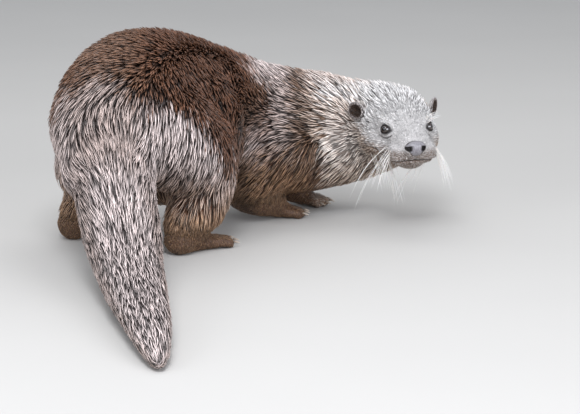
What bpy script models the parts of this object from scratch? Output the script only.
"""A life-size Eurasian otter, standing hunched with its head turned to look over its right shoulder.

The flesh is modelled whole, to the tips of the wet coat: lofted tubes along the spine, tail and
limbs, with ellipsoids for muscle, are fused by a voxel remesh and smoothed, then parted along thin
cuts into the parts that a person would name. Eyes, ears, nose leather and claws are pieces of
their own, each in a pocket that clears it by GAP.

Frame: metres, +Z up, floor at Z = 0. +X is the way the chest points and +Y the chest's left.
The hips point 60 degrees to the left of +X, and the face looks almost along -Y.
The origin is the middle of the bounding box, on the floor.
"""

import math

import bmesh
import bpy
from mathutils import Matrix, Vector

CM = 0.01
GAP = 0.0003                # clearance between neighbouring solids
MODEL = "eurasian_otter"
CUTTERS = "cutters"

# Voxel sizes and triangle budgets of the fused forms.
BODY_VOXEL = 0.0042
BODY_TRIANGLES = 2300
HEAD_VOXEL = 0.0021
HEAD_TRIANGLES = 1600
FOOT_VOXEL = 0.0016
FOOT_TRIANGLES = 250
ENVELOPE_TRIANGLES = 110

# Spine from rump to nape, in cm: x, y, z, half width, half height.
SPINE = [
    (-16.0, -5.5, 12.2, 5.8, 5.4),
    (-15.2, -1.2, 15.2, 8.2, 8.0),
    (-13.8, 4.2, 17.8, 8.8, 8.9),
    (-11.2, 10.2, 17.9, 8.7, 8.8),
    (-6.8, 16.0, 15.6, 8.4, 8.8),
    (-0.8, 21.2, 12.6, 7.7, 8.8),
    (5.0, 23.1, 11.3, 7.9, 8.6),
    (9.4, 23.9, 11.2, 7.5, 8.1),
    (13.2, 23.6, 11.3, 6.7, 7.3),
    (16.6, 22.4, 11.8, 5.5, 6.5),
    (18.6, 19.8, 12.4, 4.6, 5.7),
]

# Tail from root to tip, the rear two thirds laid on the floor, in cm: x, y, z, half width, half height.
TAIL = [
    (-15.4, -3.5, 13.0, 5.5, 5.4),
    (-14.8, -9.0, 9.8, 5.0, 5.0),
    (-13.7, -13.8, 6.6, 5.0, 4.4),
    (-12.6, -19.4, 4.3, 4.4, 3.8),
    (-11.4, -25.6, 3.1, 3.9, 3.2),
    (-10.2, -31.8, 2.5, 3.4, 2.6),
    (-9.0, -38.0, 1.95, 2.75, 2.05),
    (-8.0, -43.6, 1.4, 1.9, 1.5),
    (-7.4, -47.4, 0.85, 0.95, 0.95),
]

# Bulges of the trunk, in cm: place, radii along X, Y and Z.
BULGES = {
    "loin_fold": ((-6.4, 9.0, 13.8), (6.6, 6.5, 8.6)),
    "belly": ((-9.0, 10.0, 9.6), (7.0, 8.0, 5.2)),
    "left_thigh": ((-19.2, 8.6, 9.6), (4.8, 4.8, 4.9)),
}

# Pelvis frame: its middle in plan, and the way it points.
PELVIS = (-14.3, 1.5)
PELVIS_HEADING = math.radians(60)

# Hind leg from hip to heel, in cm in the pelvis frame: outward, forward, up, radius.
HIND_LEG = [
    (4.2, 2.4, 15.0, 6.6),
    (5.6, 5.8, 11.8, 5.9),
    (6.3, 7.4, 8.4, 4.5),
    (6.4, 5.8, 5.4, 3.7),
    (6.1, 3.8, 3.1, 2.8),
    (6.0, 2.9, 1.9, 2.1),
]
HIND_STANCE = {"right": 0.0, "left": 4.2}       # cm by which each hind leg is set further out

# Forelegs from shoulder to wrist, in cm: x, y, z, radius.
FORE_LEG = {
    "right": [(4.5, 17.2, 9.8, 4.8), (1.6, 16.9, 7.2, 3.9), (-0.1, 17.4, 4.7, 3.0),
              (1.9, 18.9, 3.1, 2.5), (3.7, 20.3, 2.0, 1.9)],
    "left": [(6.6, 28.2, 9.6, 4.8), (4.0, 29.0, 7.2, 3.9), (2.2, 29.4, 4.9, 3.0),
             (4.6, 29.0, 3.3, 2.5), (6.8, 28.4, 2.0, 1.9)],
}

# Feet, in cm: heading in plan in degrees, heel to ball, toe length, half width and depth at the ball.
FEET = {
    "hindfoot_right": {"heading": 45, "sole": 4.8, "toe": 3.8, "wide": 1.75, "deep": 1.15},
    "hindfoot_left": {"heading": 76, "sole": 5.0, "toe": 3.8, "wide": 1.75, "deep": 1.15},
    "forefoot_right": {"heading": 24, "sole": 2.2, "toe": 2.5, "wide": 1.55, "deep": 1.05},
    "forefoot_left": {"heading": -6, "sole": 2.2, "toe": 2.5, "wide": 1.55, "deep": 1.05},
}
TOE_SHARES = (0.78, 0.94, 1.0, 0.95, 0.8)       # toe lengths across the foot
TOE_SPLAY = math.radians(11)
TOE_SPACING = 0.66
TOE_RADIUS = 0.62
WEB_THICK = 0.3
HIND_ANKLE = 2.8            # height of the cut between leg and hind foot
CLAW_LENGTH = 0.95
CLAW_RADIUS = 0.17
CLAW_DROOP = math.radians(20)

# Head frame: a point between the ear bases at eye level, and how the head is turned.
HEAD_CENTRE = (19.55, 19.0, 13.95)
HEAD_YAW = math.radians(13.5)       # from -Y towards +X
HEAD_PITCH = math.radians(7)        # nose down
HEAD_ROLL = math.radians(1)         # left ear up

# Head sections in cm along the head's axis: forward, middle height, half width, half height.
CRANIUM = [
    (-5.0, -0.7, 5.0, 3.6),
    (-2.6, -0.2, 5.4, 3.7),
    (0.2, -0.1, 5.2, 3.5),
    (3.0, -0.3, 4.4, 3.1),
    (5.4, -0.6, 3.4, 2.5),
    (7.2, -0.9, 2.6, 1.95),
    (8.6, -1.15, 2.1, 1.6),
    (9.3, -1.3, 1.7, 1.2),
]
JAW = [
    (-5.0, -2.1, 5.0, 3.2),
    (-2.6, -2.1, 5.2, 3.1),
    (0.2, -2.1, 5.3, 2.9),
    (3.0, -2.2, 4.9, 2.4),
    (5.6, -2.4, 4.1, 1.9),
    (7.3, -2.4, 3.4, 1.7),
    (8.6, -2.3, 2.4, 1.3),
]
# Pairs of ellipsoids on the head, in cm: forward, outward, up, and their radii the same way.
HEAD_PAIRS = {
    "whisker_pad": ((8.1, 1.65, -2.2), (1.7, 1.8, 1.4)),
    "cheek": ((2.2, 3.2, -2.0), (3.6, 2.2, 2.5)),
    "brow": ((5.0, 2.3, 0.8), (1.5, 1.1, 0.8)),
}
CHIN = ((7.2, 0.0, -3.6), (1.9, 1.8, 1.0))

# The plane that parts the head from the neck.
NECK_CUT_PLACE = (14.6, 20.8, 12.0)
NECK_CUT_HEADING = math.radians(-45)

EYE_PLACE = (5.9, 2.75, 0.3)
EYE_RADIUS = 0.68
EAR_PLACE = (0.3, 5.2, 1.15)
EAR_RADII = (0.45, 1.2, 1.2)         # thickness, width and height of the pinna
EAR_HOLLOW = (0.4, 0.9, 0.85)
EAR_HOLLOW_SHIFT = 0.3
EAR_TURN = math.radians(55)         # how far the cup faces outward from straight ahead
NOSE_PLACE = (10.0, 0.0, -1.12)
NOSE_RADII = (0.75, 1.45, 0.95)
NOSTRIL_PLACE = (0.45, 1.0, -0.1)
NOSTRIL_RADII = (0.42, 0.34, 0.28)

COATS = {
    "brown_coat": (0.16, 0.09, 0.06, 0.6),
    "grizzled_coat": (0.34, 0.27, 0.24, 0.55),
    "dark_skin": (0.05, 0.04, 0.04, 0.4),
    "eye": (0.02, 0.015, 0.01, 0.05),
    "claw": (0.35, 0.28, 0.22, 0.4),
}


def clear_scene():
    for obj in list(bpy.data.objects):
        bpy.data.objects.remove(obj, do_unlink=True)
    for mesh in list(bpy.data.meshes):
        bpy.data.meshes.remove(mesh)


def collection(name):
    found = bpy.data.collections.get(name)
    if found is None:
        found = bpy.data.collections.new(name)
        bpy.context.scene.collection.children.link(found)
    return found


def material(name):
    red, green, blue, roughness = COATS[name]
    made = bpy.data.materials.get(name)
    if made is None:
        made = bpy.data.materials.new(name)
        made.use_nodes = True
        shader = made.node_tree.nodes["Principled BSDF"]
        shader.inputs["Base Color"].default_value = (red, green, blue, 1)
        shader.inputs["Roughness"].default_value = roughness
        shader.inputs["Metallic"].default_value = 0
        made.diffuse_color = (red, green, blue, 1)
    return made


def new_object(name, mesh_maker, group=CUTTERS):
    """An object whose mesh the maker fills in a bmesh, with its faces pointing outwards."""
    bm = bmesh.new()
    mesh_maker(bm)
    bmesh.ops.recalc_face_normals(bm, faces=bm.faces)
    mesh = bpy.data.meshes.new(name)
    bm.to_mesh(mesh)
    bm.free()
    obj = bpy.data.objects.new(name, mesh)
    collection(group).objects.link(obj)
    if group == CUTTERS:
        obj.hide_render = True
        obj.display_type = "WIRE"
    return obj


def cm(*values):
    return Vector([value * CM for value in values])


def between(rows, steps):
    """Rows of numbers joined by a Catmull-Rom curve, with this many steps between two rows."""
    padded = [rows[0], *rows, rows[-1]]
    found = []
    for i in range(1, len(padded) - 2):
        for step in range(steps):
            t = step / steps
            found.append([
                0.5 * (2 * b + (c - a) * t + (2 * a - 5 * b + 4 * c - d) * t * t
                       + (3 * b - a - 3 * c + d) * t ** 3)
                for a, b, c, d in zip(*padded[i - 1:i + 3])
            ])
    found.append(list(rows[-1]))
    return found


def loft(bm, stations, sideways=None, segments=20, cap_rings=3):
    """A closed tube through stations of (place, half width, half height), with rounded ends.

    sideways fixes the section's width axis; without it the section stands upright.
    """
    places = [Vector(s[:3]) for s in stations]
    frames = []
    for i, place in enumerate(places):
        along = (places[min(i + 1, len(places) - 1)] - places[max(i - 1, 0)]).normalized()
        if sideways is None:
            side = along.cross(Vector((0, 0, 1))).normalized()
        else:
            side = (sideways - sideways.dot(along) * along).normalized()
        frames.append((place, along, side, side.cross(along), stations[i][3], stations[i][4]))

    def cap(frame, sign):
        """Sections that close one end like a dome, from the rim outwards."""
        place, along, side, up, wide, high = frame
        for k in range(1, cap_rings + 1):
            angle = math.pi / 2 * k / (cap_rings + 1)
            depth = min(wide, high) * math.sin(angle) * sign
            shrink = math.cos(angle)
            yield place + along * depth, along, side, up, wide * shrink, high * shrink

    frames = [*reversed(list(cap(frames[0], -1))), *frames, *cap(frames[-1], 1)]
    rings = []
    for place, _, side, up, wide, high in frames:
        angles = [2 * math.pi * k / segments for k in range(segments)]
        rings.append([
            bm.verts.new(place + side * wide * math.cos(a) + up * high * math.sin(a)) for a in angles
        ])
    for lower, upper in zip(rings, rings[1:]):
        for k in range(segments):
            n = (k + 1) % segments
            bm.faces.new((lower[k], lower[n], upper[n], upper[k]))
    bm.faces.new(reversed(rings[0]))
    bm.faces.new(rings[-1])


def spine_loft(bm, rows, sideways=None):
    stations = [[value * CM for value in row] for row in between(rows, 4)]
    loft(bm, stations, sideways)


def ellipsoid(bm, place, radii, turn=None, rings=12):
    turn = turn or Matrix.Identity(4)
    matrix = Matrix.Translation(place) @ turn @ Matrix.Diagonal((*radii, 1))
    bmesh.ops.create_uvsphere(bm, u_segments=2 * rings, v_segments=rings, radius=1, matrix=matrix)


def box(bm, place, half, turn=None):
    turn = turn or Matrix.Identity(4)
    matrix = Matrix.Translation(place) @ turn @ Matrix.Diagonal((*[2 * h for h in half], 1))
    bmesh.ops.create_cube(bm, size=1, matrix=matrix)


def apply_modifiers(obj):
    graph = bpy.context.evaluated_depsgraph_get()
    graph.update()
    mesh = bpy.data.meshes.new_from_object(obj.evaluated_get(graph))
    obj.modifiers.clear()
    obj.data = mesh


def fuse(name, makers, voxel, smoothing, triangles):
    """The makers' shapes as one smooth closed skin of about this many triangles."""
    obj = new_object(name, lambda bm: [make(bm) for make in makers])
    remesh = obj.modifiers.new("fuse", "REMESH")
    remesh.mode = "VOXEL"
    remesh.voxel_size = voxel
    smooth = obj.modifiers.new("smooth", "SMOOTH")
    smooth.factor = 0.5
    smooth.iterations = smoothing
    apply_modifiers(obj)
    thin = obj.modifiers.new("thin", "DECIMATE")
    faces = sum(len(p.vertices) - 2 for p in obj.data.polygons)
    thin.ratio = min(1, triangles / faces)
    apply_modifiers(obj)
    return obj


def boolean(obj, cutter, operation):
    modifier = obj.modifiers.new(operation.lower(), "BOOLEAN")
    modifier.operation = operation
    modifier.object = cutter
    modifier.solver = "EXACT"
    apply_modifiers(obj)


def copied(obj, name):
    made = obj.copy()
    made.data = obj.data.copy()
    made.name = name
    collection(CUTTERS).objects.link(made)
    return made


def remove(*objects):
    for obj in objects:
        bpy.data.objects.remove(obj, do_unlink=True)


def grown(obj, distance):
    """A copy of an object with every face moved outwards by a distance."""
    made = copied(obj, obj.name + "_grown")
    bm = bmesh.new()
    bm.from_mesh(made.data)
    shifts = [(vert, vert.normal * distance * vert.calc_shell_factor()) for vert in bm.verts]
    for vert, shift in shifts:
        vert.co += shift
    bm.to_mesh(made.data)
    bm.free()
    return made


def part_off(whole, name, envelope):
    """Takes from the whole what lies in an envelope, as a new object, and leaves GAP between the two."""
    wider = grown(envelope, GAP)
    piece = copied(whole, name)
    boolean(piece, envelope, "INTERSECT")
    boolean(whole, wider, "DIFFERENCE")
    remove(envelope, wider)
    return piece


def stand_on_floor(obj):
    """Cuts the object flat where it reaches below the floor."""
    floor = new_object("floor_cut", lambda bm: box(bm, Vector((0, 0, -1)), (2, 2, 1)))
    boolean(obj, floor, "DIFFERENCE")
    remove(floor)


def half_space(centre, outward, reach, turn_to=Vector((0, 0, 1))):
    """An envelope: a box that begins at the centre and reaches outwards along a direction.

    reach is half its width, half its height towards turn_to, and half its depth.
    """
    deep = outward.normalized()
    tall = (turn_to - turn_to.dot(deep) * deep).normalized()
    turn = Matrix((tall.cross(deep), tall, deep)).transposed().to_4x4()
    return new_object("envelope", lambda bm: box(bm, centre + deep * reach[2], reach, turn))


def sleeve(rows, margin):
    """An envelope: a tube with flat ends round a stretch of the body, wider than it by a margin in cm.

    It runs on past its last row by half a step, over what is the body's end or is parted already.
    """
    beyond = [last + (last - row) / 2 for row, last in zip(*rows[-2:])]
    stations = [[value * CM for value in row] for row in between([*rows, beyond], 3)]
    for station in stations:
        station[3] += margin * CM
        station[4] += margin * CM
    return new_object("envelope", lambda bm: loft(bm, stations, cap_rings=0))


def limb_envelope(rows, margin):
    """An envelope: a smooth form round a limb, wider than it by a margin in cm."""
    wider = [(*row[:3], row[3] + margin, row[4] + margin) for row in rows]
    return fuse("envelope", [limb_loft(wider)], 2 * BODY_VOXEL, 4, ENVELOPE_TRIANGLES)


# ---------------------------------------------------------------- body

def pelvis_point(outward, forward, up, side):
    """A point given in the pelvis frame, in cm, on the right or left side."""
    ahead = Vector((math.cos(PELVIS_HEADING), math.sin(PELVIS_HEADING)))
    right = Vector((ahead.y, -ahead.x))
    sign = 1 if side == "right" else -1
    plan = Vector(PELVIS) + right * outward * sign + ahead * forward
    return plan.x, plan.y, up


def hind_leg(side):
    """Stations of a hind leg in world cm: place, half width, half depth."""
    wide = HIND_STANCE[side]
    rows = []
    for index, (outward, forward, up, radius) in enumerate(HIND_LEG):
        spread = wide * (0.25 + 0.75 * index / (len(HIND_LEG) - 1))
        rows.append((*pelvis_point(outward + spread, forward, up, side), radius, radius))
    return rows


def fore_leg(side):
    return [(x, y, z, radius, radius) for x, y, z, radius in FORE_LEG[side]]


def leg_rows():
    rows = {}
    for side in ("right", "left"):
        rows["hindleg_" + side] = hind_leg(side)
        rows["foreleg_" + side] = fore_leg(side)
    return rows


def limb_loft(rows):
    lateral = Vector((0.5, -0.87, 0))
    return lambda bm: spine_loft(bm, rows, lateral)


def bulge(place, radii):
    return lambda bm: ellipsoid(bm, cm(*place), cm(*radii))


def body_makers():
    makers = [lambda bm: spine_loft(bm, SPINE), lambda bm: spine_loft(bm, TAIL)]
    makers += [limb_loft(rows) for rows in leg_rows().values()]
    makers += [bulge(place, radii) for place, radii in BULGES.values()]
    return makers


# ---------------------------------------------------------------- head

def head_matrix():
    """Head frame to world: local X forward to the nose, Y to the otter's left, Z up."""
    base = Matrix.Rotation(HEAD_YAW - math.pi / 2, 4, "Z")
    nod = Matrix.Rotation(HEAD_PITCH, 4, "Y")
    tilt = Matrix.Rotation(HEAD_ROLL, 4, "X")
    return Matrix.Translation(cm(*HEAD_CENTRE)) @ base @ nod @ tilt


def head_point(forward, outward, up):
    return head_matrix() @ cm(forward, outward, up)


def head_turn():
    return head_matrix().to_3x3().to_4x4()


def head_sections(rows):
    """A loft along the head's axis, made in the head frame and moved into place."""
    def make(bm):
        fine = between(rows, 3)
        before = set(bm.verts)
        stations = [[f * CM, 0, z * CM, w * CM, h * CM] for f, z, w, h in fine]
        loft(bm, stations, Vector((0, 1, 0)), segments=28)
        for vert in set(bm.verts) - before:
            vert.co = head_matrix() @ vert.co
    return make


def head_ball(place, radii, side=1):
    forward, outward, up = place
    return lambda bm: ellipsoid(bm, head_point(forward, outward * side, up),
                                cm(*radii), head_turn())


def head_makers():
    makers = [head_sections(CRANIUM), head_sections(JAW), head_ball(*CHIN)]
    for place, radii in HEAD_PAIRS.values():
        makers += [head_ball(place, radii, side) for side in (-1, 1)]
    makers.append(lambda bm: spine_loft(bm, SPINE[-4:]))
    return makers


def neck_cut():
    """The envelope of all that is head: a box ahead of a plane from behind one ear to the nape."""
    outward = Vector((math.cos(NECK_CUT_HEADING), math.sin(NECK_CUT_HEADING), 0))
    return half_space(cm(*NECK_CUT_PLACE), outward, (0.12, 0.12, 0.12))


def eye_ball(bm, side, grow=0.0):
    forward, outward, up = EYE_PLACE
    radius = EYE_RADIUS * CM + grow
    ellipsoid(bm, head_point(forward, outward * side, up), (radius,) * 3, head_turn(), rings=7)


def ear_cup(bm, side, hollow=False):
    """The pinna, or the hollow of its cup, which is set towards the side that the ear faces."""
    forward, outward, up = EAR_PLACE
    turn = head_turn() @ Matrix.Rotation(EAR_TURN * side, 4, "Z")
    place = head_point(forward, outward * side, up)
    radii = EAR_RADII
    if hollow:
        place += turn @ cm(EAR_HOLLOW_SHIFT, 0, 0)
        radii = EAR_HOLLOW
    ellipsoid(bm, place, cm(*radii), turn, rings=6)


def nose_leather(bm, grow=0.0):
    radii = cm(*NOSE_RADII) + Vector((grow, grow, grow))
    ellipsoid(bm, head_point(*NOSE_PLACE), radii, head_turn(), rings=7)


def nostril(bm, side):
    place = Vector(NOSE_PLACE) + Vector((NOSTRIL_PLACE[0], NOSTRIL_PLACE[1] * side, NOSTRIL_PLACE[2]))
    ellipsoid(bm, head_point(*place), cm(*NOSTRIL_RADII), head_turn(), rings=4)


# ---------------------------------------------------------------- feet

def foot_axes(name):
    heading = math.radians(FEET[name]["heading"])
    return heading, Vector(cm(*leg_rows()[leg_of(name)][-1][:2], 0))


def leg_of(foot_name):
    return foot_name.replace("foot", "leg")


def foot_point(origin, heading, forward, outward, up):
    """A point ahead of and beside a place in plan, in cm."""
    ahead = Vector((math.cos(heading), math.sin(heading), 0))
    beside = Vector((-ahead.y, ahead.x, 0))
    return origin + (ahead * forward + beside * outward + Vector((0, 0, up))) * CM


def toe_line(name, index):
    """Where a toe begins in plan, its heading and its length in cm."""
    size = FEET[name]
    heading, heel = foot_axes(name)
    step = index - (len(TOE_SHARES) - 1) / 2
    base = foot_point(heel, heading, size["sole"] - 0.2 * abs(step), step * TOE_SPACING, 0)
    return base, heading + step * TOE_SPLAY, size["toe"] * TOE_SHARES[index]


def foot_makers(name):
    """The sole, five toes and the web between them, with the end of the leg above."""
    size = FEET[name]
    heading, heel = foot_axes(name)
    sideways = foot_point(Vector(), heading, 0, 1, 0)
    wide, deep, sole = size["wide"], size["deep"], size["sole"]

    def section(forward, up, half_wide, half_high):
        return (*foot_point(heel, heading, forward, 0, up), half_wide * CM, half_high * CM)

    def sole_form(bm):
        rows = [
            section(-0.2, 1.4, 1.35, 1.45),
            section(0.55 * sole, 1.2, 0.85 * wide, 1.1 * deep),
            section(sole, 0.8, wide, 0.9 * deep),
        ]
        loft(bm, between(rows, 4), sideways)

    def web_form(bm):
        toe = size["toe"]
        rows = [
            section(sole - 0.6, 0.6, wide, 0.5),
            section(sole + 0.3 * toe, 0.5, wide + 0.2, WEB_THICK * 1.3),
            section(sole + 0.62 * toe, 0.42, wide + 0.6, WEB_THICK),
        ]
        loft(bm, between(rows, 3), sideways)

    def toe_form(index):
        def make(bm):
            base, aim, length = toe_line(name, index)
            rows = [
                (*foot_point(base, aim, -0.3, 0, 0.85), TOE_RADIUS * CM * 1.1, TOE_RADIUS * CM * 1.1),
                (*foot_point(base, aim, 0.5 * length, 0, 0.8), TOE_RADIUS * CM, TOE_RADIUS * CM),
                (*foot_point(base, aim, length - TOE_RADIUS, 0, 0.46), TOE_RADIUS * CM * 0.95,
                 TOE_RADIUS * CM),
            ]
            loft(bm, between(rows, 3), foot_point(Vector(), aim, 0, 1, 0), segments=12)
        return make

    leg = limb_loft(leg_rows()[leg_of(name)][-3:])
    return [sole_form, web_form, leg] + [toe_form(k) for k in range(len(TOE_SHARES))]


def claw(bm, name, index, grow=0.0):
    """A small hooked claw that begins inside the end of its toe, or its pocket if it is grown."""
    base, aim, length = toe_line(name, index)
    radius = CLAW_RADIUS * CM + grow
    start = length - 0.3 - grow / CM
    rows = []
    for share, thickness in ((0.0, 1.0), (0.5, 0.8), (1.0, 0.25)):
        forward = start + share * (CLAW_LENGTH * math.cos(CLAW_DROOP) + grow / CM)
        droop = CLAW_LENGTH * math.sin(CLAW_DROOP) * share ** 1.6
        place = foot_point(base, aim, forward, 0, 0.78 - droop)
        rows.append((*place, radius * thickness, radius * thickness * 1.25))
    loft(bm, rows, foot_point(Vector(), aim, 0, 1, 0), segments=5, cap_rings=0)


def ankle_cut(name):
    """The envelope of all that is foot: below the ankle on a hind foot, ahead of the wrist on a forefoot."""
    heading, heel = foot_axes(name)
    ahead = Vector((math.cos(heading), math.sin(heading), 0))
    if name.startswith("hind"):
        middle = foot_point(heel, heading, 0.45 * FEET[name]["sole"], 0, HIND_ANKLE)
        return half_space(middle, Vector((0, 0, -1)), (0.075, 0.075, 0.03), turn_to=ahead)
    middle = foot_point(heel, heading, 0.2, 0, 0.9)
    return half_space(middle, ahead, (0.033, 0.024, 0.05))


# ---------------------------------------------------------------- build

def put_in_model(obj, name, coat):
    for group in list(obj.users_collection):
        group.objects.unlink(obj)
    collection(MODEL).objects.link(obj)
    obj.name = name
    obj.data.name = name
    obj.hide_render = False
    obj.display_type = "TEXTURED"
    obj.data.materials.clear()
    obj.data.materials.append(material(coat))
    obj.data.shade_smooth()
    obj.data.set_sharp_from_angle(angle=math.radians(50))


def cut_with(obj, maker, name="pocket_cut"):
    cutter = new_object(name, maker)
    boolean(obj, cutter, "DIFFERENCE")
    remove(cutter)


def build_head():
    """The head with pockets for the eyes and nose, and the pieces that sit on it."""
    form = fuse("head_form", head_makers(), HEAD_VOXEL, 5, HEAD_TRIANGLES)
    head = part_off(form, "head", neck_cut())
    skull = grown(head, GAP)
    for side, word in ((1, "left"), (-1, "right")):
        cut_with(head, lambda bm, s=side: eye_ball(bm, s, GAP))
        eye = new_object("eye_" + word, lambda bm, s=side: eye_ball(bm, s))
        ear = new_object("ear_" + word, lambda bm, s=side: ear_cup(bm, s))
        cut_with(ear, lambda bm, s=side: ear_cup(bm, s, hollow=True))
        boolean(ear, skull, "DIFFERENCE")
        put_in_model(eye, "eye_" + word, "eye")
        put_in_model(ear, "ear_" + word, "brown_coat")
    cut_with(head, lambda bm: nose_leather(bm, GAP))
    nose = new_object("nose", nose_leather)
    for side in (1, -1):
        cut_with(nose, lambda bm, s=side: nostril(bm, s))
    put_in_model(nose, "nose", "dark_skin")
    put_in_model(head, "head", "grizzled_coat")
    remove(form, skull)


def build_foot(name):
    """A foot with its five claws."""
    form = fuse(name + "_form", foot_makers(name), FOOT_VOXEL, 3, FOOT_TRIANGLES)
    foot = part_off(form, name, ankle_cut(name))
    stand_on_floor(foot)
    toes = range(len(TOE_SHARES))
    for index in toes:
        piece = new_object("claw", lambda bm, k=index: claw(bm, name, k))
        cut_with(foot, lambda bm, k=index: claw(bm, name, k, GAP))
        put_in_model(piece, name.replace("foot", "claw") + f"_{index + 1}", "claw")
    put_in_model(foot, name, "brown_coat")
    remove(form)


def build_body():
    """Hindquarters, chest, neck, tail and legs, parted from one form."""
    body = fuse("body_form", body_makers(), BODY_VOXEL, 8, BODY_TRIANGLES)
    stand_on_floor(body)
    remove(part_off(body, "beyond_nape", neck_cut()))
    for name in FEET:
        remove(part_off(body, "beyond_ankle", ankle_cut(name)))
    parts = {}
    for name, rows in leg_rows().items():
        parts[name] = part_off(body, name, limb_envelope(rows[1:], 1.1))
    parts["neck"] = part_off(body, "neck", sleeve(SPINE[7:], 2.0))
    parts["chest"] = part_off(body, "chest", sleeve(SPINE[5:8], 2.6))
    parts["tail_tip"] = part_off(body, "tail_tip", sleeve(TAIL[5:], 1.5))
    parts["tail_middle"] = part_off(body, "tail_middle", sleeve(TAIL[3:6], 1.5))
    parts["tail_root"] = part_off(body, "tail_root", sleeve(TAIL[1:4], 1.2))
    parts["hindquarters"] = body
    for name, obj in parts.items():
        put_in_model(obj, name, "brown_coat")


def centre_on_floor():
    """Moves the whole model so that the origin is the middle of its bounding box, on the floor."""
    pieces = collection(MODEL).objects
    corners = [vert.co for piece in pieces for vert in piece.data.vertices]
    middle = [(min(c[axis] for c in corners) + max(c[axis] for c in corners)) / 2 for axis in (0, 1)]
    shift = Vector((-middle[0], -middle[1], 0))
    for piece in pieces:
        piece.data.transform(Matrix.Translation(shift))


def main():
    clear_scene()
    build_body()
    build_head()
    for name in FEET:
        build_foot(name)
    centre_on_floor()


main()
